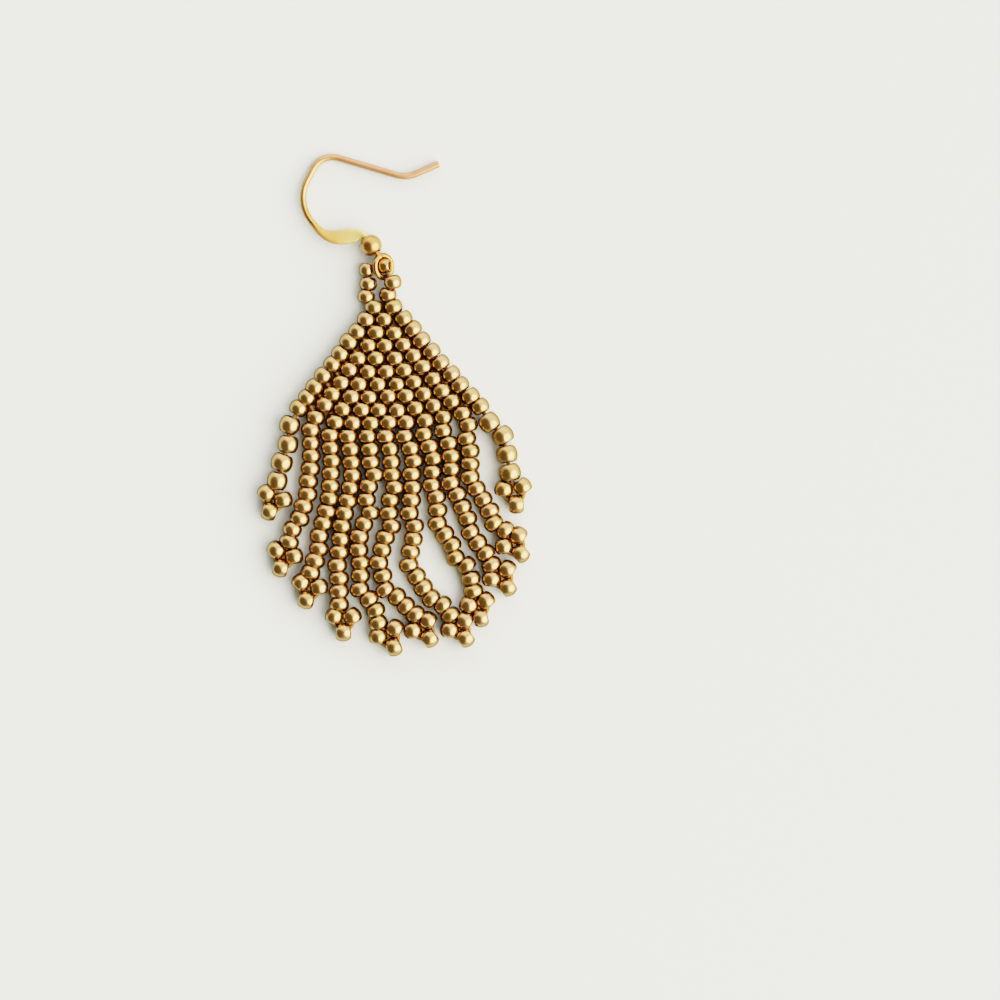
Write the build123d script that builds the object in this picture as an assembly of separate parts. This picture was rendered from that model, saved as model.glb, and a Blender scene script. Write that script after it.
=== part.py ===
from build123d import *
import os
from math import asin, cos, degrees, radians, sin, tan

# A beaded fringe earring, lying on its back on a flat surface.
# Millimetres. +Z is up from the surface, +Y runs from the fringe to the ear hook.
# The origin is on the surface, in the middle of the earring's outline.

# Seed beads: across the bead, along its hole, and side by side with the thread between
bead_dia = 2.1
bead_len = 1.5
bead_pitch = 2.2
edge_bead_dia = 2.4
edge_bead_len = 2.1

# Panel: rows of beads standing side by side, each row one bead wider than the last
first_row = 2
last_row = 11
row_pitch = 1.58
row_overlap = 0.12
row_rise = 0.21
row_drift = 0.07
row_flat_left = 0.45
row_flat_right = 0.0
row_flat_past = 0.525
row_edge_round = 0.5
panel_x = -1.17
panel_y = 11.94

# Ear hook: round wire, pressed flat in front, with a ball and a ring at its lower end
wire_dia = 0.78
flat_width = 1.78
flat_thick = 0.38
die_step = 0.01
edge_squareness = 1.4
press_from = 0.61
neck_lean = 32.77
shoulder_rise = 0.273
shoulder_bend = 0.925
bend_end_depth = 0.28
hook_width = 17.3
hook_height = 11.2
ball_x = -2.71
ball_y = 19.21
ball_dia = 2.65
ball_bore = 1.2
ring_dia = 3.3
ring_wire_dia = 0.66
ring_lean = 42
ring_bearing = 30.5
ring_lift = 0.04
joint_angle = 120
ball_edge_round = 0.08
section_step = 20

# Strings of beads: the hanging loop's tube is thin enough to pass the ring
loop_dia = 1.4
thread_gap = 0.18
picot_reach = 1.3
picot_core_dia = 1.8
bead_edge_round = 0.4
bend_share = 0.45

os.makedirs("parts", exist_ok=True)


def row_lift(row, side):
    """How far a row has curled up, from 0 at its middle to the ends at side -1 and 1."""
    flat = row_flat_left if side < 0 else row_flat_right
    return row_rise * (row - first_row) * max(0, (abs(side) - flat) / (1 - flat)) ** 2


def row_slope(row, side):
    """How steeply a row rises to the right at one of its beads."""
    flat = row_flat_left if side < 0 else row_flat_right
    climb = 2 * row_rise * (row - first_row) * max(0, abs(side) - flat) / (1 - flat) ** 2
    half_width = (row - 1) / 2 * bead_pitch
    return climb / half_width * (-1 if side < 0 else 1)


def row_middle(row):
    step = row - first_row
    return Vector(panel_x + row_drift * step, panel_y - row_pitch * step)


def bead_place(row, count):
    """Centre of one bead of a panel row, counted from the left."""
    half = (row - 1) / 2
    return row_middle(row) + Vector((count - half) * bead_pitch, row_lift(row, (count - half) / half))


def bend_radii(points, filled):
    """Radius of each corner, from the share of its shorter run that the bend takes."""
    radii = []
    for before, corner, after in zip(points, points[1:], points[2:]):
        run_in = Vector(corner) - Vector(before)
        run_out = Vector(after) - Vector(corner)
        shorter = min(run_in.length, run_out.length)
        half_turn = radians(run_in.get_angle(run_out)) / 2
        radii.append(filled[len(radii)] * shorter / tan(half_turn))
    return radii


def tube(points, radii, diameter):
    """Round tube along straight runs joined by tangent arcs."""
    path = Wire(FilletPolyline(*points, radius=radii).edges())
    start = Plane(origin=path @ 0, z_dir=path % 0)
    return sweep(start * Circle(diameter / 2), path=path), path


def string_tube(name, points, diameter):
    """Tube of a string of beads, checked against its section times its length."""
    radii = bend_radii(points, [bend_share] * (len(points) - 2))
    body, path = tube(points, radii, diameter)
    expected = Circle(diameter / 2).area * path.length
    listed = " ".join(f"{radius:.1f}" for radius in radii)
    print(f"{name}: {path.length:.2f} mm long, volume ratio {body.volume / expected:.4f}, radii {listed}")
    return body


# Bead panel
# Each row is a bar as long as its beads, curved up at both ends, with rounded edges.

def row_bar(row):
    half_width = (row - 1) / 2 * bead_pitch
    half_bar = half_width + bead_dia / 2
    end_side = half_bar / half_width
    middle = row_middle(row)
    left = middle + Vector(-half_bar, row_lift(row, -end_side))
    right = middle + Vector(half_bar, row_lift(row, end_side))
    if row == first_row:
        spine = Line(left, right)
    else:
        flat_from = middle - Vector(row_flat_left * half_width, 0)
        flat_to = middle + Vector(row_flat_right * half_width + row_flat_past, 0)
        spine = [
            TangentArc(flat_from, left, tangent=(-1, 0)),
            Line(flat_from, flat_to),
            TangentArc(flat_to, right, tangent=(1, 0)),
        ]
    bar = extrude(trace(spine, line_width=row_pitch + row_overlap), amount=bead_dia)
    return fillet(bar.edges(), radius=row_edge_round)


panel = row_bar(first_row)
for row in range(first_row + 1, last_row + 1):
    panel = panel + row_bar(row)
export_step(panel, "parts/bead_panel.step")

# Ear hook
# The wire's bends, from the tip of the tail to the heel of the pressed leg, seen square to
# the hook's own plane and measured from the ball's centre.
# Columns: across as a share of hook_width, up as a share of hook_height, and the share
# of the shorter run that the bend takes.
hook_bends = {
    "tip": (0.474, 0.885, 0.0),
    "dip": (0.250, 0.730, 0.31),
    "crown": (-0.346, 1.003, 0.32),
    "back": (-0.526, 0.464, 0.53),
    "heel": (-0.313, 0.065, 0.41),
}
corners = {
    name: Vector(across * hook_width, up * hook_height)
    for name, (across, up, share) in hook_bends.items()
}

# The leg ends in a shoulder above the ball and goes into the mouth of the ball's bore.
neck_way = Vector(sin(radians(neck_lean)), -cos(radians(neck_lean)))
shoulder = neck_way * -(ball_dia / 2 + shoulder_rise)
mouth = neck_way * -(ball_dia / 2 - bend_end_depth)
hook_line = list(corners.values()) + [shoulder, mouth]
shares = [share for across, up, share in hook_bends.values()] + [shoulder_bend]
radii = bend_radii(hook_line, shares[1:])

# The pressed stretch starts on the straight between the back and the heel.
press_start = corners["back"] + (corners["heel"] - corners["back"]) * press_from
tail_points = [corners["tip"], corners["dip"], corners["crown"], corners["back"], press_start]
tail_wire, tail_path = tube(tail_points, radii[:3], wire_dia)

# Pressed stretch
# Columns: share of the way from the start to the ball's mouth, and how far it is pressed,
# from 0 for round wire to 1 for the full width.
pressing = (
    (0.00, 0.00),
    (0.10, 0.08),
    (0.20, 0.25),
    (0.30, 0.50),
    (0.42, 0.76),
    (0.54, 0.95),
    (0.64, 1.00),
    (0.74, 0.92),
    (0.82, 0.72),
    (0.88, 0.45),
    (0.93, 0.22),
    (0.97, 0.06),
    (1.00, 0.00),
)
leg_points = [press_start, corners["heel"], shoulder, mouth]
leg_path = Wire(FilletPolyline(*leg_points, radius=radii[3:]).edges())


def wire_section(pressed):
    """Closed section of the wire, from round to flat with rounded edges."""
    wide = wire_dia / 2 + die_step + pressed * (flat_width - wire_dia) / 2
    thick = wire_dia / 2 + die_step - pressed * (wire_dia - flat_thick) / 2
    power = 2 / (2 + edge_squareness * pressed)
    points = []
    for turn in range(0, 360, section_step):
        across = cos(radians(turn))
        up = sin(radians(turn))
        points.append((
            wide * abs(across) ** power * (1 if across > 0 else -1),
            thick * abs(up) ** power * (1 if up > 0 else -1),
        ))
    return make_face(Spline(*points, periodic=True))


sections = []
for share, pressed in pressing:
    along = leg_path % share
    sideways = Vector(-along.Y, along.X)
    station = Plane(origin=leg_path @ share, x_dir=sideways, z_dir=along)
    sections.append(station * wire_section(pressed))
pressed_leg = loft(sections)

# The hook lies with its ball and the top of its arch on the surface.
arch_reach = tail_path.bounding_box().max.Y
hook_tilt = degrees(asin((ball_dia - wire_dia) / 2 / arch_reach))
ball_centre = Vector(ball_x, ball_y, ball_dia / 2)
hook_place = Location(ball_centre) * Location((0, 0, 0), (-hook_tilt, 0, 0))

# The ring stands beside the ball and leans over, its right side near the surface.
ring_mean = (ring_dia - ring_wire_dia) / 2
ring_z = ring_mean * sin(radians(ring_lean)) + ring_wire_dia / 2 + ring_lift
ring_away = (ball_dia + ring_dia) / 2
ring_x = ball_x + ring_away * sin(radians(ring_bearing))
ring_y = ball_y - ring_away * cos(radians(ring_bearing))
ring_centre = Vector(ring_x, ring_y, ring_z)
ring_place = Location(ring_centre) * Location((0, 0, 0), (0, ring_lean, 0))
ring = ring_place * Torus(ring_mean, ring_wire_dia / 2)
joint_turn = radians(joint_angle)
ring_joint = (ring_place * Pos(ring_mean * cos(joint_turn), ring_mean * sin(joint_turn))).position
mouth_place = (hook_place * Pos(mouth)).position
neck_points = [mouth_place, ball_centre, ring_joint]
neck, neck_path = tube(neck_points, bend_radii(neck_points, [bend_share]), wire_dia)
solder = Pos(ring_joint) * Sphere(wire_dia / 2)
ear_hook = hook_place * (tail_wire + pressed_leg) + neck + solder + ring
export_step(ear_hook, "parts/ear_hook.step")

# Ball bead on the wire, bored wider than the wire
bore_way = Plane(origin=ball_centre, z_dir=ring_joint - mouth_place)
ball = Sphere(ball_dia / 2) - Cylinder(ball_bore / 2, 2 * ball_dia)
bore_rims = [rim for rim in ball.edges().filter_by(GeomType.CIRCLE) if rim.radius < 0.51 * ball_bore]
hook_ball = bore_way * fillet(bore_rims, radius=ball_edge_round)
export_step(hook_ball, "parts/hook_ball.step")

# Hanging loop: a short string of six beads up from the panel's first row, under the left
# side of the ring, through it, over its right side and back down to the first row.
hanging_route = [
    (-2.95, 13.25, 1.05),
    (-3.4, 14.2, 0.95),
    (-3.4, 15.7, 0.72),
    (-2.2, 16.6, 0.72),
    (-0.1, 16.55, 1.8),
    (0.3, 15.1, 2.0),
    (-0.5, 13.95, 1.3),
    (-0.35, 13.15, 1.05),
]
hanging_loop = string_tube("hanging_loop", hanging_route, loop_dia)
export_step(hanging_loop, "parts/hanging_loop.step")

# Fringe: one string of beads under each bead of the last row
# Columns: beads on the string, turn of the picot from straight down in degrees, and the
# route on the surface as (across, up) from its bead of the last row. The last point is
# the middle of the picot.
fringe = {
    1: (4, -20, [(-1.1, -3.1), (-1.4, -5.1), (-2.4, -7.7), (-2.7, -9.5), (-3.0, -11.2)]),
    2: (10, -18, [(-0.7, -2.6), (-0.5, -5.4), (-1.0, -8.6), (-1.5, -11.4), (-2.8, -13.7), (-3.2, -15.4),
                  (-3.9, -17.1)]),
    3: (12, -14, [(-0.2, -2.9), (0.0, -5.6), (-0.4, -9.0), (-1.3, -12.8), (-1.6, -15.4), (-2.5, -18.4),
                  (-2.8, -20.6)]),
    4: (14, 0, [(-0.1, -2.8), (0.2, -5.6), (-0.2, -8.9), (-1.1, -12.2), (-1.7, -16.4), (-1.4, -20.2),
                (-0.9, -24.0)]),
    5: (16, 27, [(0.1, -3.4), (0.5, -6.2), (-0.2, -8.8), (0.0, -11.0), (-1.2, -14.0), (-1.1, -17.4),
                 (-1.2, -20.0), (0.5, -22.2), (1.2, -24.3), (2.2, -25.9)]),
    6: (16, 34, [(0.2, -3.4), (0.75, -7.4), (0.2, -10.0), (0.5, -12.4), (-1.0, -16.6), (-0.6, -19.6),
                 (1.2, -21.2), (3.1, -22.9), (4.2, -25.0)]),
    7: (16, 32, [(0.75, -4.0), (0.75, -7.6), (0.3, -10.6), (0.9, -13.2), (0.1, -16.9), (1.8, -19.7),
                 (3.3, -21.3), (5.0, -22.8), (6.3, -25.4)]),
    8: (14, 14, [(0.85, -4.2), (0.85, -7.6), (1.5, -10.4), (1.5, -12.6), (3.1, -15.4), (3.9, -17.0),
                 (5.1, -18.2), (5.7, -20.4), (6.7, -22.5)]),
    9: (12, 32, [(0.9, -4.2), (0.9, -7.6), (2.4, -11.1), (3.3, -13.8), (5.2, -16.8), (7.1, -19.5)]),
    10: (10, 37, [(0.8, -3.0), (1.1, -5.0), (0.9, -7.2), (2.3, -10.4), (3.6, -13.0), (4.9, -14.2),
                  (6.3, -15.8)]),
    11: (4, 10, [(1.4, -2.4), (2.8, -3.9), (3.2, -6.0), (3.5, -8.2), (4.1, -10.4)]),
}


def string_start(number, corner, across):
    """Where a string's tube starts, its flat end just clear of the last row."""
    foot = bead_place(last_row, number - 1)
    half = (last_row - 1) / 2
    slope = row_slope(last_row, (number - 1 - half) / half)
    way = (Vector(corner) - foot).normalized()
    lean = radians(way.get_angle(Vector(slope, -1)))
    return foot + way * ((row_pitch + row_overlap) / 2 + thread_gap + across / 2 * sin(lean))


def barrel(place, way, across, length):
    """Outer form of one bead, its hole along the given way."""
    bead = Cylinder(across / 2, length)
    bead = fillet(bead.edges().filter_by(GeomType.CIRCLE), radius=bead_edge_round)
    return Plane(origin=place, z_dir=way) * bead


for number, (beads, picot_turn, route) in fringe.items():
    foot = bead_place(last_row, number - 1)
    at_edge = number in (1, last_row)
    across = edge_bead_dia if at_edge else bead_dia
    length = edge_bead_len if at_edge else bead_len
    corners = [(foot.X + x, foot.Y + y) for x, y in route]
    start = string_start(number, corners[0], across)
    points = [(x, y, across / 2) for x, y in [(start.X, start.Y)] + corners]
    name = f"fringe_{number:02d}"
    string = string_tube(name, points, across)
    middle = Vector(points[-1])
    string = string + Pos(middle) * Sphere(picot_core_dia / 2)
    for lobe in (0, 120, 240):
        turn = radians(picot_turn + lobe)
        outward = Vector(sin(turn), -cos(turn))
        string = string + barrel(middle + outward * picot_reach, (cos(turn), sin(turn)), across, length)
    export_step(string, f"parts/{name}.step")
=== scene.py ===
import bmesh
import bpy
import random
from math import cos, pi, radians, sin, tan
from mathutils import Matrix, Vector


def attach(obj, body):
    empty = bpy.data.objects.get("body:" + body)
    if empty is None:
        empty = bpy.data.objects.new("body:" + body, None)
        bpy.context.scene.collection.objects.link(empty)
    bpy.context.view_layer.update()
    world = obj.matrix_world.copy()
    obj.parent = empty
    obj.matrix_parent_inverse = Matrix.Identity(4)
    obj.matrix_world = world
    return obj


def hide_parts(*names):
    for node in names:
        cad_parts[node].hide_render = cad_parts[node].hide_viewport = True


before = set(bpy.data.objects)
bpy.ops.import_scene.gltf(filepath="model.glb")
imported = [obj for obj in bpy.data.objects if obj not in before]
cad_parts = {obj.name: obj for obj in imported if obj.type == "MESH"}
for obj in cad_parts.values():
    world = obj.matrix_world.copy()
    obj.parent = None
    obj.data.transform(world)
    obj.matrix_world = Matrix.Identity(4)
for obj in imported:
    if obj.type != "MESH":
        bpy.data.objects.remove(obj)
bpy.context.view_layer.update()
scene = bpy.context.scene
mm = 0.001


# Ear hook
# Brass wire 0.78 mm thick, bent over formers and pressed flat in front, with a ring of
# thinner wire soldered to its lower end, then plated in satin gold.

def linear(hex_colour):
    """An sRGB hex colour as the linear colour a shader takes."""
    parts = [int(hex_colour[i:i + 2], 16) / 255 for i in (0, 2, 4)]
    return [p / 12.92 if p <= 0.04045 else ((p + 0.055) / 1.055) ** 2.4 for p in parts] + [1]


def add_node(tree, kind, inputs=None, **settings):
    """One node with its settings; an input is a number, a colour or another node's socket."""
    node = tree.nodes.new(kind)
    for name, value in settings.items():
        setattr(node, name, value)
    for name, value in (inputs or {}).items():
        if isinstance(value, bpy.types.NodeSocket):
            tree.links.new(value, node.inputs[name])
        else:
            node.inputs[name].default_value = value
    return node


def new_material(name):
    """An empty material with its shader and the coordinates of the piece."""
    material = bpy.data.materials.new(name)
    material.use_nodes = True
    tree = material.node_tree
    tree.nodes.clear()
    shader = add_node(tree, "ShaderNodeBsdfPrincipled")
    add_node(tree, "ShaderNodeOutputMaterial", {"Surface": shader.outputs["BSDF"]})
    place = add_node(tree, "ShaderNodeTexCoord").outputs["Object"]
    return material, tree, shader, place


# Satin gold plate on brass: a soft pale sheen, dullest on the pressed face and on the tail,
# which is pinker, as its plate is thinner. Beside the ball the wire is painted palest, a painted
# highlight over the shade where the face curves down by the ball. The ring is painted darker and
# less yellow, as painted shade. Each of these turns into the next over a stretch of the wire,
# given here by where it starts and where it is complete. The specular tint gives the wire its
# darker rim.
# The real grain of about 0.02 mm is too fine to show and is drawn at 0.15 mm.
gold_plate, tree, shader, place = new_material("satin_gold_plate")
split = add_node(tree, "ShaderNodeSeparateXYZ", {"Vector": place})
above = add_node(tree, "ShaderNodeMapRange", {
    "Value": split.outputs["Y"], "From Min": 22 * mm, "From Max": 25 * mm})
tail = add_node(tree, "ShaderNodeMapRange", {
    "Value": split.outputs["X"], "From Min": -14 * mm, "From Max": -6 * mm,
    "To Max": above.outputs["Result"]})
cloud = add_node(tree, "ShaderNodeTexNoise", {
    "Vector": place, "Scale": 1 / (1.1 * mm), "Detail": 3})
patch = add_node(tree, "ShaderNodeMapRange", {
    "Value": cloud.outputs["Fac"], "From Min": 0.3, "From Max": 0.7})
pale = add_node(tree, "ShaderNodeMix", {
    "Factor": patch.outputs["Result"], "A": linear("CA9E62"), "B": linear("D2AA6F")},
    data_type="RGBA")
pink = add_node(tree, "ShaderNodeMix", {
    "Factor": patch.outputs["Result"], "A": linear("C08F72"), "B": linear("C99E81")},
    data_type="RGBA")
# Painted highlight: the wire is painted paler beside the ball, which lifts the shade where the
# pressed face curves down and the ball shades it.
painted_highlight_beside_ball = add_node(tree, "ShaderNodeMapRange", {
    "Value": split.outputs["X"], "From Min": -7 * mm, "From Max": -4.2 * mm})
front = add_node(tree, "ShaderNodeMix", {
    "Factor": painted_highlight_beside_ball.outputs["Result"], "A": pale.outputs["Result"], "B": linear("E6D496")},
    data_type="RGBA")
wire = add_node(tree, "ShaderNodeMix", {
    "Factor": tail.outputs["Result"], "A": front.outputs["Result"], "B": pink.outputs["Result"]},
    data_type="RGBA")
# Painted shade: the ring is painted a darker, less yellow gold than the rest of the wire.
ring = add_node(tree, "ShaderNodeMapRange", {
    "Value": split.outputs["Y"], "From Min": 19.3 * mm, "From Max": 18.7 * mm})
tint = add_node(tree, "ShaderNodeMix", {
    "Factor": ring.outputs["Result"], "A": wire.outputs["Result"], "B": linear("B28A59")},
    data_type="RGBA")
tree.links.new(tint.outputs["Result"], shader.inputs["Base Color"])
# The pressed face is dull within 0.9 mm of its middle line, and the wire shines from 1.8 mm on.
face_middle = 20.2 * mm
face_y = add_node(tree, "ShaderNodeMath", {
    0: split.outputs["Y"], 1: face_middle}, operation="SUBTRACT")
face_off = add_node(tree, "ShaderNodeMath", {0: face_y.outputs["Value"]}, operation="ABSOLUTE")
rough = add_node(tree, "ShaderNodeMapRange", {
    "Value": face_off.outputs["Value"], "From Min": 0.9 * mm, "From Max": 1.8 * mm,
    "To Min": 0.55, "To Max": 0.22})
dull = add_node(tree, "ShaderNodeMix", {
    "Factor": tail.outputs["Result"], "A": rough.outputs["Result"], "B": 0.5}, data_type="FLOAT")
tree.links.new(dull.outputs["Result"], shader.inputs["Roughness"])
grain = add_node(tree, "ShaderNodeTexNoise", {
    "Vector": place, "Scale": 1 / (0.15 * mm), "Detail": 2})
bump = add_node(tree, "ShaderNodeBump", {
    "Height": grain.outputs["Fac"], "Strength": 0.12, "Distance": 0.02 * mm})
tree.links.new(bump.outputs["Normal"], shader.inputs["Normal"])
shader.inputs["Metallic"].default_value = 1
shader.inputs["Specular Tint"].default_value = linear("5C4E3C")


def finish_piece(name, mesh, material, nodes):
    """Puts a mesh in the scene as one piece, in place of the CAD nodes if any are named."""
    mesh.materials.append(material)
    piece = bpy.data.objects.new(name, mesh)
    scene.collection.objects.link(piece)
    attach(piece, "root")
    if nodes:
        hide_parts(*nodes)
    return piece


def smooth_copy(node, sharp_angle):
    """The node's exact shape with its triangles joined and its round faces shaded smooth.

    Edges that turn by the sharp angle, in degrees, or more stay sharp.
    """
    form = bmesh.new()
    form.from_mesh(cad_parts[node].data)
    same_point = 0.0005 * mm
    bmesh.ops.remove_doubles(form, verts=form.verts, dist=same_point)
    for face in form.faces:
        face.smooth = True
    for edge in form.edges:
        edge.smooth = len(edge.link_faces) == 2 and edge.calc_face_angle() < radians(sharp_angle)
    mesh = bpy.data.meshes.new(node + "_finished")
    form.to_mesh(mesh)
    form.free()
    mesh.materials.clear()
    return mesh


hook_shape = smooth_copy("ear_hook", sharp_angle=35)
finish_piece("ear_hook_finished", hook_shape, gold_plate, ["ear_hook"])

# Ball
# A hollow brass ball, 2.65 mm, drilled through and plated, loose on the wire above the ring.

# Polished gold plate: brighter than the wire, with rub marks that soften its mirror.
polished_gold, tree, shader, place = new_material("polished_gold_plate")
cloud = add_node(tree, "ShaderNodeTexNoise", {
    "Vector": place, "Scale": 1 / (0.8 * mm), "Detail": 3})
tint = add_node(tree, "ShaderNodeMix", {
    "Factor": cloud.outputs["Fac"], "A": linear("AF8452"), "B": linear("BA9665")}, data_type="RGBA")
tree.links.new(tint.outputs["Result"], shader.inputs["Base Color"])
rough = add_node(tree, "ShaderNodeMapRange", {
    "Value": cloud.outputs["Fac"], "To Min": 0.22, "To Max": 0.34})
tree.links.new(rough.outputs["Result"], shader.inputs["Roughness"])
shader.inputs["Metallic"].default_value = 1
ball_shape = smooth_copy("hook_ball", sharp_angle=50)
finish_piece("hook_ball_finished", ball_shape, polished_gold, ["hook_ball"])

# Seed beads
# Size 11/0 seed beads: short rings cut from a drawn glass tube and tumbled round in the
# fire, then coated with metallic gold. The beads of one strand differ a little in size.
bead_dia = 2.2 * mm
bead_len = 1.6 * mm
chance = random.Random(11)

# Outline of half a bead as shares of its radius and of half its length, from the middle of
# the outside to the middle of the hole. The outer points stand proud, because the
# subdivided surface draws in from them to a bead of unit size.
bead_outline = (
    (1.19, 0.0),
    (1.00, 0.80),
    (0.56, 1.21),
    (0.38, 0.0),
)
bead_sides = 8


def bead_form():
    """One bead of unit diameter and length, its hole along Z, in a few dozen faces."""
    form = bmesh.new()
    outline = [(r, z) for r, z in bead_outline]
    outline += [(r, -z) for r, z in reversed(bead_outline[1:-1])]
    ring = [form.verts.new((r / 2, 0, z / 2)) for r, z in outline]
    edges = [form.edges.new((a, b)) for a, b in zip(ring, ring[1:] + ring[:1])]
    bmesh.ops.spin(
        form, geom=ring + edges, cent=(0, 0, 0), axis=(0, 0, 1), angle=2 * pi,
        steps=bead_sides, use_merge=True)
    same_point = 1e-5
    bmesh.ops.remove_doubles(form, verts=form.verts, dist=same_point)
    bmesh.ops.recalc_face_normals(form, faces=form.faces)
    for face in form.faces:
        face.smooth = True
    mesh = bpy.data.meshes.new("bead_form")
    form.to_mesh(mesh)
    form.free()
    return mesh


seed_bead = bead_form()


def add_bead(beads, place, way, across=bead_dia, length=bead_len):
    """Adds one bead with its hole along the given way.

    It leans by about 3 degrees, is up to 5 % wider, 2 % out of round and 3 % longer or
    shorter, and has its own shade.
    """
    before = len(beads.verts)
    beads.from_mesh(seed_bead)
    beads.verts.ensure_lookup_table()
    new_verts = beads.verts[before:]
    wobble = Vector([chance.gauss(0, 0.05) for axis in range(3)])
    turn = (Vector(way).normalized() + wobble).to_track_quat("Z", "Y").to_matrix().to_4x4()
    wide = across * chance.uniform(0.99, 1.05)
    out_of_round = chance.uniform(0.98, 1.02)
    long = length * chance.uniform(0.97, 1.03)
    size = Matrix.Diagonal((wide * out_of_round, wide, long, 1))
    spin = Matrix.Rotation(chance.uniform(0, 2 * pi), 4, "Z")
    move = Matrix.Translation(place) @ turn @ spin @ size
    bmesh.ops.transform(beads, matrix=move, verts=new_verts)
    layers = beads.faces.layers.float
    shade = layers.get("bead_shade") or layers.new("bead_shade")
    beads.faces.ensure_lookup_table()
    tone = chance.random()
    for face in beads.faces[-len(seed_bead.polygons):]:
        face[shade] = tone


# Metallic gold coat on glass: a mirror softened by the fire-rounded surface, which is a
# little uneven, and no two beads quite the same colour. The specular tint gives each bead its
# dark rim.
bead_gold, tree, shader, place = new_material("gold_coated_glass")
shade = add_node(tree, "ShaderNodeAttribute", attribute_name="bead_shade")
cloud = add_node(tree, "ShaderNodeTexNoise", {
    "Vector": place, "Scale": 1 / (0.7 * mm), "Detail": 2})
mixed = add_node(tree, "ShaderNodeMix", {
    "Factor": 0.4, "A": shade.outputs["Fac"], "B": cloud.outputs["Fac"]}, data_type="FLOAT")
tint = add_node(tree, "ShaderNodeMix", {
    "Factor": mixed.outputs["Result"], "A": linear("AF976A"), "B": linear("B99877")},
    data_type="RGBA")
tree.links.new(tint.outputs["Result"], shader.inputs["Base Color"])
rough = add_node(tree, "ShaderNodeMapRange", {
    "Value": cloud.outputs["Fac"], "To Min": 0.2, "To Max": 0.3})
tree.links.new(rough.outputs["Result"], shader.inputs["Roughness"])
dents = add_node(tree, "ShaderNodeTexNoise", {
    "Vector": place, "Scale": 1 / (0.8 * mm), "Detail": 1})
bump = add_node(tree, "ShaderNodeBump", {
    "Height": dents.outputs["Fac"], "Strength": 0.35, "Distance": 0.08 * mm})
tree.links.new(bump.outputs["Normal"], shader.inputs["Normal"])
shader.inputs["Metallic"].default_value = 1
shader.inputs["Specular Tint"].default_value = linear("4A4540")


def finish_beads(name, beads, nodes):
    """The joined beads as one piece, rounded by two levels of subdivision."""
    mesh = bpy.data.meshes.new(name)
    beads.to_mesh(mesh)
    beads.free()
    piece = finish_piece(name, mesh, bead_gold, nodes)
    rounding = piece.modifiers.new("rounding", "SUBSURF")
    rounding.levels = 2
    rounding.render_levels = 2


# Thread
# Waxed nylon beading thread, passed twice through each bead, 0.5 mm across both passes. It
# fills the gaps between the beads.
thread_dia = 0.5 * mm

# Waxed nylon: dull golden brown, so that the gaps between the beads stay in their colour. Its
# twisted fibres show as a mottle of 0.2 mm.
waxed_thread, tree, shader, place = new_material("waxed_nylon_thread")
fibre = add_node(tree, "ShaderNodeTexNoise", {
    "Vector": place, "Scale": 1 / (0.2 * mm), "Detail": 2})
tint = add_node(tree, "ShaderNodeMix", {
    "Factor": fibre.outputs["Fac"], "A": linear("6C5030"), "B": linear("9B7A4C")}, data_type="RGBA")
tree.links.new(tint.outputs["Result"], shader.inputs["Base Color"])
shader.inputs["Roughness"].default_value = 0.55


def line_through(points, closed=False, smooth=True):
    """A curve object along the points, with no thickness."""
    curve = bpy.data.curves.new("line", "CURVE")
    curve.dimensions = "3D"
    curve.resolution_u = 12
    spline = curve.splines.new("NURBS" if smooth else "POLY")
    spline.points.add(len(points) - 1)
    for point, at in zip(spline.points, points):
        point.co = (*at, 1)
    spline.use_cyclic_u = closed
    if smooth:
        spline.order_u = 3
        spline.use_endpoint_u = not closed
    return bpy.data.objects.new("line", curve)


def add_thread(threads, points, closed=False, smooth=True):
    """Adds one run of thread to a mesh of threads."""
    line = line_through(points, closed, smooth)
    line.data.resolution_u = 3
    line.data.bevel_depth = thread_dia / 2
    line.data.bevel_resolution = 1
    line.data.use_fill_caps = True
    mesh = bpy.data.meshes.new_from_object(line)
    threads.from_mesh(mesh)
    bpy.data.meshes.remove(mesh)
    bpy.data.objects.remove(line)


def finish_threads(name, threads):
    """The joined runs of thread as one piece, which replaces no node of its own."""
    bmesh.ops.recalc_face_normals(threads, faces=threads.faces)
    for face in threads.faces:
        face.smooth = True
    mesh = bpy.data.meshes.new(name)
    threads.to_mesh(mesh)
    threads.free()
    mesh.materials.clear()
    finish_piece(name, mesh, waxed_thread, [])


# Panel
# Ten rows of beads in brick stitch, from two beads to eleven, standing side by side with
# their holes up and down the panel. Each row hangs by its thread between the beads above.
first_row = 2
last_row = 11
bead_pitch = 2.2 * mm
row_pitch = 1.55 * mm
panel_bead_len = 1.66 * mm
row_rise = 0.21 * mm
row_drift = 0.07 * mm
row_flat_left = 0.45
panel_x = -1.17 * mm
panel_y = 11.73 * mm
panel_z = 0.53 * bead_dia
thread_z = 0.7 * mm
# How far the beads lean, in degrees: those at a row's ends outwards, more in each row up to a
# limit, the others with the curl of their row, and all a little by chance.
end_lean = 12
most_end_lean = 35
curl_lean = 2.2
chance_lean = 3


def panel_bead(row, count):
    """Centre of one bead of the panel, counted from the left; the rows curl up at both ends."""
    step = row - first_row
    half = (row - 1) / 2
    side = (count - half) / half
    if side < 0:
        past_flat = max(0, (-side - row_flat_left) / (1 - row_flat_left))
        lift = row_rise * max(0, step - 1) * past_flat ** 2
    else:
        lift = row_rise * step * side ** 2
    return Vector((
        panel_x + row_drift * step + (count - half) * bead_pitch,
        panel_y - row_pitch * step + lift,
        panel_z))


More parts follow.
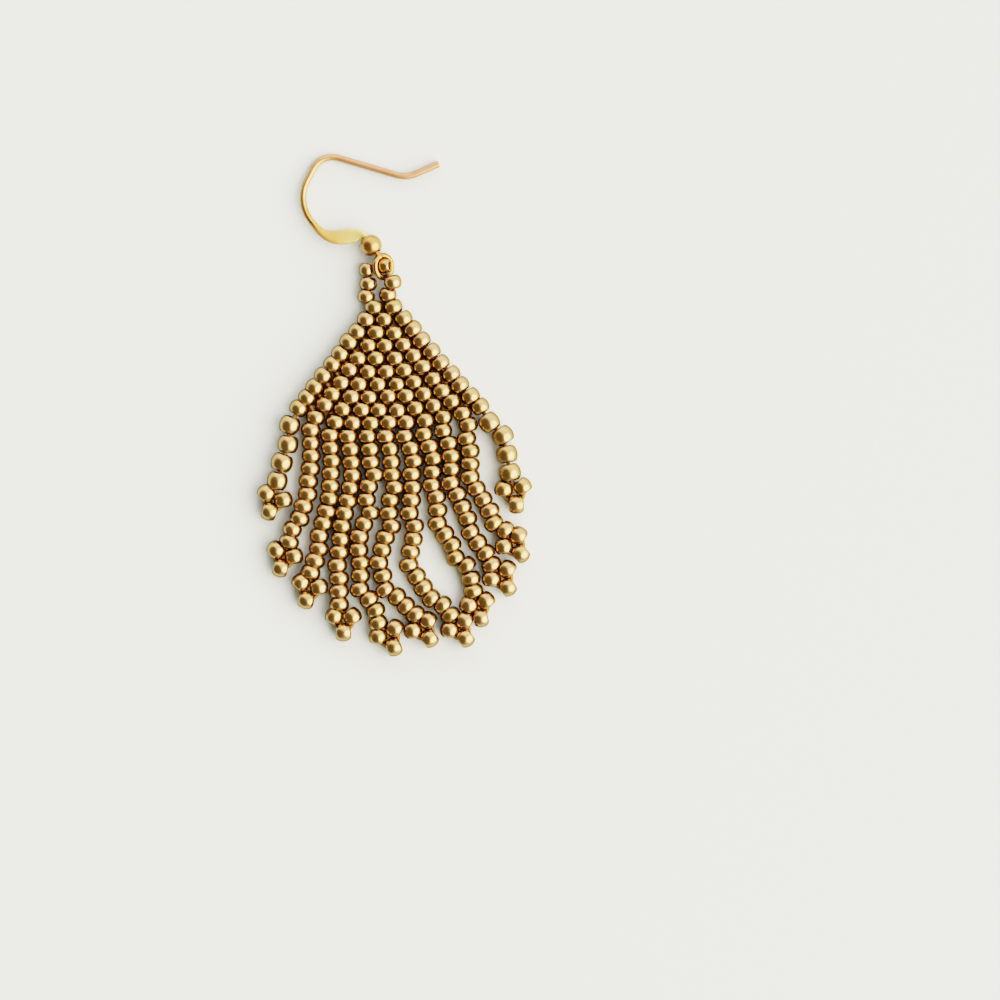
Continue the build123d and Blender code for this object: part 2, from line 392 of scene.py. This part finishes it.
panel_places = {}
beads = bmesh.new()
for row in range(first_row, last_row + 1):
    half = (row - 1) / 2
    for count in range(row):
        # Off its place by some hundredths of a millimetre, but never lower.
        slip = (chance.gauss(0, 0.06), chance.gauss(0, 0.05), abs(chance.gauss(0, 0.05)))
        centre = panel_bead(row, count) + Vector(slip) * mm
        panel_places[row, count] = centre
        side = (count - half) / half
        if count in (0, row - 1):
            lean = side * min(most_end_lean, end_lean * (row - 1))
        else:
            lean = side * abs(side) * curl_lean * (row - first_row)
        lean = radians(lean + chance.gauss(0, chance_lean))
        way = Vector((-sin(lean), cos(lean), 0))
        add_bead(beads, centre, way, length=panel_bead_len)
finish_beads("panel_beads", beads, ["bead_panel"])

threads = bmesh.new()
for row in range(first_row, last_row + 1):
    bridge = []
    for count in range(row):
        foot = panel_places[row, count]
        bridge.append(Vector((foot.x, foot.y - row_pitch / 2, bead_dia / 2)))
        if count < row - 1:
            between = (foot + panel_places[row, count + 1]) / 2
            between.z = thread_z
            reach = Vector((0, row_pitch / 2, 0))
            ends = [between + reach, between - reach if row < last_row else between]
            add_thread(threads, ends, smooth=False)
            bridge.append(Vector((between.x, between.y - row_pitch / 2, bead_dia / 3)))
    if row < last_row:
        add_thread(threads, bridge, smooth=False)
        for count, below in ((0, 0), (0, 1), (row - 1, row - 1), (row - 1, row)):
            ends = [panel_places[row, count], panel_places[row + 1, below]]
            add_thread(threads, ends, smooth=False)
finish_threads("panel_thread", threads)

# Hanging loop
# Six beads on the thread that comes up from the panel's first row, under the left side of
# the hook's ring, through it, over its right side and back down. The one in the ring is small.
# Columns: place of the bead across, up and above the surface, its way, its diameter and its
# length, in millimetres.
loop_beads = (
    ((-3.28, 12.98, 1.08), (0.35, 1, 0.0), 2.05, 1.55),
    ((-3.04, 14.55, 1.05), (0.0, 1, -0.1), 2.05, 1.55),
    ((-3.22, 16.27, 0.99), (0.25, 1, 0.0), 1.85, 1.5),
    ((-1.12, 16.72, 1.3), (1, 0.0, 0.55), 1.76, 1.75),
    ((-0.07, 14.75, 1.75), (0.15, -1, -0.15), 2.05, 1.55),
    ((-0.67, 13.25, 1.15), (-0.15, -1, -0.2), 2.05, 1.55),
)
beads = bmesh.new()
for centre, way, across, length in loop_beads:
    add_bead(beads, Vector(centre) * mm, way, across * mm, length * mm)
finish_beads("hanging_loop_beads", beads, ["hanging_loop"])
threads = bmesh.new()
loop_line = [Vector(centre) * mm for centre, way, across, length in loop_beads]
add_thread(threads, [panel_places[2, 0], *loop_line, panel_places[2, 1]])
finish_threads("hanging_loop_thread", threads)

# Fringe
# Eleven limp strings of beads, one under each bead of the last row. The thread goes down
# through a string, round its tip of three beads and back up through the same string.
# Columns: turn of the tip in degrees; route from its bead of the last row as (across, up) in
# millimetres, ending in the middle of the tip; and how far each bead sits off the route's
# line, in tenths of a millimetre.
fringe = {
    1: (-20, [(-1.1, -3.1), (-1.4, -5.1), (-2.4, -7.7), (-2.7, -9.5), (-3.0, -11.2)],
        (-3, 1, 0, 1)),
    2: (-18, [(-0.6, -2.6), (-0.4, -5.4), (-1.0, -8.6), (-1.5, -11.4), (-2.8, -13.7), (-3.2, -15.4),
              (-3.9, -17.05)], (-3, -1, -1, -1, -1, 1, -1, 0, -2, -1)),
    3: (-14, [(-0.2, -2.9), (0.0, -5.6), (-0.4, -9.0), (-1.3, -12.8), (-1.6, -15.4), (-2.5, -18.4),
              (-3.07, -20.33)], (-4, -3, -2, -3, -2, -1, -1, -2, -4, -2, -3, -4)),
    4: (0, [(-0.1, -2.8), (0.2, -5.6), (-0.2, -8.9), (-1.1, -12.2), (-1.65, -16.4), (-1.3, -20.2),
            (-1.1, -24.0)], (-5, -2, -2, -1, -2, -2, -2, -2, -1, -1, -3, -2, -3, -4)),
    5: (27, [(0.2, -3.4), (0.6, -6.2), (-0.2, -8.8), (0.0, -11.0), (-1.2, -14.0), (-1.1, -17.4),
             (-1.2, -20.0), (0.5, -22.2), (1.2, -24.3), (2.2, -25.9)],
        (-5, -3, -4, 0, -4, -4, 1, -3, -4, -3, -1, -1, -4, 0, 0, -3)),
    6: (34, [(0.2, -3.4), (0.75, -7.4), (0.2, -10.0), (0.5, -12.4), (-1.0, -16.6), (-0.6, -19.6),
             (1.2, -21.2), (3.1, -22.9), (4.2, -25.0)],
        (-5, -1, -1, -2, 1, -2, -3, 0, -4, -3, -4, 0, -4, 0, -1, 1)),
    7: (32, [(0.75, -4.0), (0.75, -7.6), (0.3, -10.6), (0.9, -13.2), (0.1, -16.9), (1.8, -19.7),
             (3.3, -21.3), (5.1, -22.65), (6.4, -25.05)],
        (-6, -1, 1, -2, 0, 0, -2, 2, 1, 0, -3, 0, -1, -3, 0, -1)),
    8: (14, [(0.85, -4.2), (0.85, -7.6), (1.5, -10.4), (1.5, -12.6), (3.2, -15.4), (4.05, -17.0),
             (5.25, -18.2), (5.85, -20.4), (6.4, -22.65)],
        (-5, -1, 2, 0, -2, 1, 0, -2, 1, 2, -2, 3, 0, -1)),
    9: (32, [(0.9, -4.2), (0.9, -7.6), (2.4, -11.1), (3.3, -13.8), (5.35, -16.8), (7.1, -19.5)],
        (-4, 0, 1, 0, -3, 0, 0, 1, -2, -1, 0, -2)),
    10: (37, [(0.8, -3.0), (1.1, -5.0), (0.9, -7.2), (2.3, -10.4), (3.6, -13.0), (4.9, -14.2),
              (6.35, -16.0)], (4, -2, 0, 0, -2, 0, 2, 3, -1, 3)),
    11: (10, [(1.4, -2.2), (2.85, -3.7), (3.3, -5.9), (3.6, -8.1), (4.15, -10.4)], (-1, 2, 0, 0)),
}
edge_bead_dia = 2.5 * mm
edge_bead_len = 2.05 * mm
string_z = 0.565 * bead_dia
edge_string_z = 0.52 * edge_bead_dia
# Along a route, from its start to the first bead and from the last bead to its end.
first_step = 1.62 * mm
last_step = 2.1 * mm
edge_first_step = 2.15 * mm
edge_last_step = 2.55 * mm
# How many times wider than usual the first and the last bead of a string are.
first_wider = 1.02
last_wider = 1.08
# The tip, or picot: how far its beads sit from its middle and how long they are. The thread
# turns to the next bead at a share of a bead's length from its centre. Its second round lies
# nearer to the middle, at a share of the first's distance.
picot_reach = 1.27 * mm
picot_bead_len = 1.78 * mm
picot_thread_turn = 0.3
picot_inner_round = 0.45
slip_unit = 0.1 * mm


def places_along(route, first, last, count):
    """Places and ways of beads spread evenly along a route's smooth line.

    The first bead is the distance first from the start, and the last one last from the end.
    """
    line = line_through(route)
    mesh = bpy.data.meshes.new_from_object(line)
    points = [v.co.copy() for v in mesh.vertices]
    bpy.data.meshes.remove(mesh)
    bpy.data.objects.remove(line)
    runs = [(b - a).length for a, b in zip(points, points[1:])]
    step = (sum(runs) - first - last) / (count - 1)
    found = []
    for number in range(count):
        ahead = first + step * number
        for a, b, run in zip(points, points[1:], runs):
            if ahead <= run:
                found.append((a.lerp(b, ahead / run), (b - a).normalized()))
                break
            ahead -= run
    return found


threads = bmesh.new()
for number, (picot_turn, route, slips) in fringe.items():
    at_edge = number in (1, last_row)
    across = edge_bead_dia if at_edge else bead_dia
    length = edge_bead_len if at_edge else bead_len
    foot = panel_bead(last_row, number - 1)
    foot.z = edge_string_z if at_edge else string_z
    line = [foot] + [foot + Vector((x, y, 0)) * mm for x, y in route]
    first = edge_first_step if at_edge else first_step
    last = edge_last_step if at_edge else last_step
    beads = bmesh.new()
    strand = [panel_places[last_row, number - 1]]
    for (centre, way), slip in zip(places_along(line, first, last, len(slips)), slips):
        passed = (len(strand) - 1) / (len(slips) - 1)
        wider = 1 if at_edge else first_wider + (last_wider - first_wider) * passed
        sideways = Vector((-way.y, way.x, 0))
        lift = Vector((0, 0, abs(chance.gauss(0, 0.05)) * mm))
        centre = centre + sideways * slip * slip_unit + lift
        add_bead(beads, centre, way, across * wider, length)
        strand.append(centre)
    middle = line[-1]
    tip = []
    for lobe in (0, 120, 240):
        turn = radians(picot_turn + lobe)
        outward = Vector((sin(turn), -cos(turn), 0))
        along = Vector((cos(turn), sin(turn), 0))
        centre = middle + outward * (picot_reach + chance.gauss(0, 0.04) * mm)
        add_bead(beads, centre, along, length=picot_bead_len)
        to_turn = along * picot_bead_len * picot_thread_turn
        tip += [centre - to_turn, centre + to_turn]
    add_thread(threads, strand + [middle])
    add_thread(threads, tip, closed=True)
    add_thread(threads, [middle.lerp(end, picot_inner_round) for end in tip], closed=True)
    finish_beads(f"fringe_{number:02d}_beads", beads, [f"fringe_{number:02d}"])
finish_threads("fringe_thread", threads)

# Floor
# A plain pale matt board.
floor_half = 1.5
floor_mesh = bpy.data.meshes.new("floor")
sheet = bmesh.new()
bmesh.ops.create_grid(sheet, x_segments=1, y_segments=1, size=floor_half)
sheet.to_mesh(floor_mesh)
sheet.free()
floor = bpy.data.objects.new("floor", floor_mesh)
scene.collection.objects.link(floor)

# Matt board: one even tone with hardly any sheen. It is a little blue, so that it comes out
# neutral in the warm light.
pale_board, tree, shader, place = new_material("pale_board")
shader.inputs["Base Color"].default_value = linear("DFEFFF")
shader.inputs["Roughness"].default_value = 0.9
shader.inputs["Specular IOR Level"].default_value = 0.1
floor_mesh.materials.append(pale_board)

# Light
# A warm white tent, dimmer at the left and towards the tips of the fringe, with a large softbox
# low on the right, which gives each bead its bright side, and an opening high on the left, which
# shows in each bead as a dark spot.
tent_glow = 2.8

world = bpy.data.worlds.new("studio")
scene.world = world
world.use_nodes = True
tree = world.node_tree
tree.nodes.clear()
heading = add_node(tree, "ShaderNodeTexCoord").outputs["Generated"]

# The opening is a little longer along the earring than across it. It is dark up to 0.66 from
# its middle, measured on a sphere of radius 1, and fades out up to 0.9.
opening_way = Vector((-0.62, -0.36, 0.79)).normalized()
away = add_node(tree, "ShaderNodeVectorMath", {0: heading, 1: opening_way}, operation="SUBTRACT")
shape = add_node(tree, "ShaderNodeVectorMath", {
    0: away.outputs["Vector"], 1: (1, 0.8, 1)}, operation="MULTIPLY")
reach = add_node(tree, "ShaderNodeVectorMath", {0: shape.outputs["Vector"]}, operation="LENGTH")
opening = add_node(tree, "ShaderNodeMapRange", {
    "Value": reach.outputs["Value"], "From Min": 0.9, "From Max": 0.66},
    interpolation_type="SMOOTHSTEP")
split = add_node(tree, "ShaderNodeSeparateXYZ", {"Vector": heading})
leftward = add_node(tree, "ShaderNodeMapRange", {
    "Value": split.outputs["X"], "From Min": -0.3, "From Max": -1.0})
upper = add_node(tree, "ShaderNodeMix", {
    "Factor": leftward.outputs["Result"], "A": linear("FFEEDA"), "B": linear("A7A29C")},
    data_type="RGBA")
downward = add_node(tree, "ShaderNodeMapRange", {
    "Value": split.outputs["Y"], "From Min": 0.8, "From Max": -0.8})
tent = add_node(tree, "ShaderNodeMix", {
    "Factor": downward.outputs["Result"], "A": upper.outputs["Result"], "B": linear("918E8C")},
    data_type="RGBA")
sky = add_node(tree, "ShaderNodeMix", {
    "Factor": opening.outputs["Result"], "A": tent.outputs["Result"], "B": linear("514B32")},
    data_type="RGBA")
surround = add_node(tree, "ShaderNodeBackground", {
    "Color": sky.outputs["Result"], "Strength": tent_glow})
add_node(tree, "ShaderNodeOutputWorld", {"Surface": surround.outputs["Background"]})

# The glow is the brightness that the beads mirror. It stays the same whatever the size is.
softbox_way = Vector((0.79, -0.3, 0.62)).normalized()
softbox_away = 2.0
softbox_half_angle = radians(36)
softbox_glow = 5.6
softbox = bpy.data.lights.new("softbox", "AREA")
softbox.shape = "DISK"
softbox.size = 2 * softbox_away * tan(softbox_half_angle)
softbox.color = linear("FFEAC2")[:3]
softbox.energy = softbox_glow * pi * pi * (softbox.size / 2) ** 2
lamp = bpy.data.objects.new("softbox", softbox)
lamp.location = softbox_way * softbox_away
lamp.rotation_euler = lamp.location.to_track_quat("Z", "Y").to_euler()
scene.collection.objects.link(lamp)

# Camera
# Straight above the surface, framed as the photograph.
photo_pixels = 1000
pixels_per_mm = 8.27
view_centre = (12.88 * mm, -11.55 * mm)
camera_height = 0.9
lens = bpy.data.cameras.new("camera")
camera = bpy.data.objects.new("camera", lens)
scene.collection.objects.link(camera)
scene.camera = camera
field = photo_pixels / pixels_per_mm * mm
lens.sensor_width = 36
lens.lens = lens.sensor_width * camera_height / field
lens.clip_start = 0.01
camera.location = (*view_centre, camera_height)
# Deep shadows between the beads and soft pale highlights on them, as in the photograph.
scene.view_settings.view_transform = "Filmic"
scene.view_settings.look = "High Contrast"
